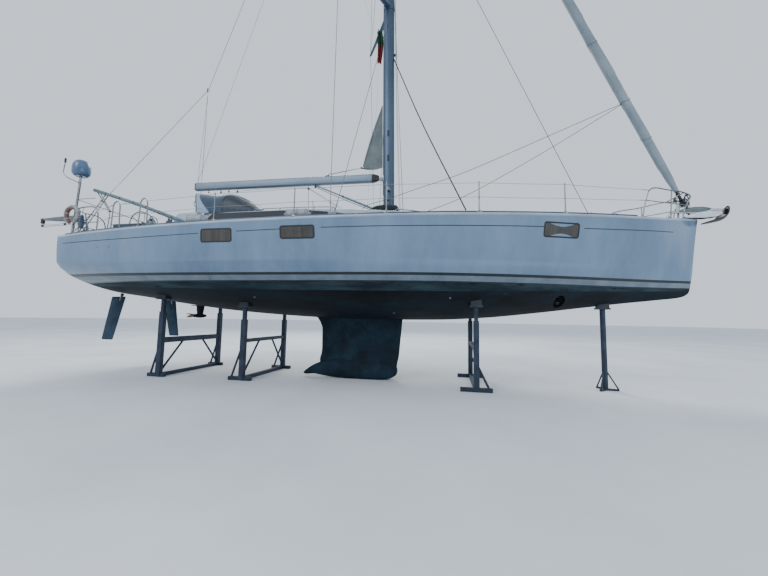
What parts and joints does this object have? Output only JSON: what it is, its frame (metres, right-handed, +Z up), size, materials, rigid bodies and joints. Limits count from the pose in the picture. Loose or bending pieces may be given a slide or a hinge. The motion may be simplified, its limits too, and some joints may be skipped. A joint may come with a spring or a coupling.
{
  "type": "sailing yacht ashore on support frames",
  "caption": "Cruising sailing yacht laid up ashore on steel frames, with furled sails, fin keel and bulb, canted rudders and twin wheels.",
  "frame": {"origin": "on the ground, midway along the length over all, on the centre plane", "axes": "+X towards the bow, +Y to port, +Z up"},
  "size_m": [16.76, 4.76, 22.19],
  "materials": {
    "gelcoat": "glossy gel coat",
    "deck": "matt non-slip gel coat",
    "glass": "dark tinted",
    "antifouling": "matt antifouling paint",
    "keel": "matt antifouling paint",
    "aluminium": "satin anodised",
    "steel": "polished",
    "frame": "blue-grey paint, worn",
    "canvas": "woven acrylic",
    "sail": "sailcloth with a cover strip",
    "fender": "soft vinyl",
    "rubber": "matt black",
    "teak": "bare teak",
    "galvanised": "dull zinc"
  },
  "bodies": {
    "boat": {"anchor": "galvanised", "backstay": "steel", "bimini_boot": "canvas", "bimini_struts_port": "steel", "bimini_struts_starboard": "steel", "bow_prop": "frame", "bow_roller": "steel", "coachroof_window_port": "glass", "coachroof_window_starboard": "glass", "cockpit_table": "teak", "compression_post": "aluminium", "deck_moulding": "deck", "deck_roll_aft": "fender", "deck_roll_forward": "fender", "engine": "frame", "furled_genoa": "sail", "furling_drum": "rubber", "guardrail_port": "steel", "guardrail_starboard": "steel", "helm_pedestal_port": "gelcoat", "helm_pedestal_starboard": "gelcoat", "horseshoe_buoy": "fender", "hull": "gelcoat", "inner_forestay": "steel", "keel": "keel", "mast": "aluminium", "pulpit": "steel", "pushpit_port": "steel", "pushpit_starboard": "steel", "radome": "gelcoat", "radome_pole": "steel", "sail_drive": "antifouling", "sheet_winch_port": "aluminium", "sheet_winch_starboard": "aluminium", "shrouds_port": "steel", "shrouds_starboard": "steel", "side_cushion": "canvas", "sprayhood": "canvas", "spreaders_1": "aluminium", "spreaders_2": "aluminium", "support_frame_aft": "frame", "support_frame_forward": "frame", "support_frame_quarter": "frame"},
    "rudder_starboard_body": {"rudder_starboard": "keel"},
    "rudder_port_body": {"rudder_port": "keel"},
    "wheel_starboard": {"steering_wheel_starboard": "steel"},
    "wheel_port": {"steering_wheel_port": "steel"},
    "propeller": {"folding_propeller": "galvanised"},
    "boom_assembly": {"boom": "aluminium", "boom_vang": "aluminium", "mainsail_clew": "sail"},
    "platform": {"bathing_platform": "gelcoat"},
    "foredeck_lid": {"foredeck_hatch": "glass"},
    "locker_lid": {"anchor_locker_lid": "gelcoat"},
    "companionway_lid": {"companionway_hatch": "glass"}
  },
  "joints": [
    {"name": "rudder_starboard_turn", "type": "hinge", "parent": "boat", "child": "rudder_starboard_body", "pos_m": [-6.69, -0.88, 2.1], "axis": [0, 0.2178, 0.976], "range_deg": [-35, 35]},
    {"name": "rudder_port_turn", "type": "hinge", "parent": "boat", "child": "rudder_port_body", "pos_m": [-6.69, 0.88, 2.1], "axis": [0, -0.2178, 0.976], "range_deg": [-35, 35]},
    {"name": "wheel_starboard_turn", "type": "hinge", "parent": "boat", "child": "wheel_starboard", "pos_m": [-5.96, -1.08, 3.9], "axis": [1, 0, 0], "range_deg": [-270, 270]},
    {"name": "wheel_port_turn", "type": "hinge", "parent": "boat", "child": "wheel_port", "pos_m": [-5.96, 1.08, 3.9], "axis": [1, 0, 0], "range_deg": [-270, 270]},
    {"name": "propeller_spin", "type": "hinge", "parent": "boat", "child": "propeller", "pos_m": [-5.12, 0, 1.56], "axis": [1, 0, 0], "continuous": true},
    {"name": "boom_swing", "type": "hinge", "parent": "boat", "child": "boom_assembly", "pos_m": [0.375, 0, 5.35], "axis": [-0.0138, 0, 0.9999], "range_deg": [-60, 60]},
    {"name": "bathing_platform_fold", "type": "hinge", "parent": "boat", "child": "platform", "pos_m": [-7.117, 0, 2.738], "axis": [0, -1, 0], "range_deg": [0, 90]},
    {"name": "foredeck_hatch_open", "type": "hinge", "parent": "boat", "child": "foredeck_lid", "pos_m": [4.535, 0, 3.81369], "axis": [0, 1, 0], "range_deg": [0, 100]},
    {"name": "anchor_locker_open", "type": "hinge", "parent": "boat", "child": "locker_lid", "pos_m": [6.885, 0, 3.92131], "axis": [0, 1, 0], "range_deg": [0, 100]},
    {"name": "companionway_slide", "type": "slide", "parent": "boat", "child": "companionway_lid", "axis": [1, 0, 0], "range_m": [0, 0.52]}
  ],
  "couplings": [
    {"joint": "rudder_port_turn", "follows": "rudder_starboard_turn", "ratio": 1},
    {"joint": "wheel_starboard_turn", "follows": "rudder_starboard_turn", "ratio": 7.714},
    {"joint": "wheel_port_turn", "follows": "rudder_starboard_turn", "ratio": 7.714}
  ]
}
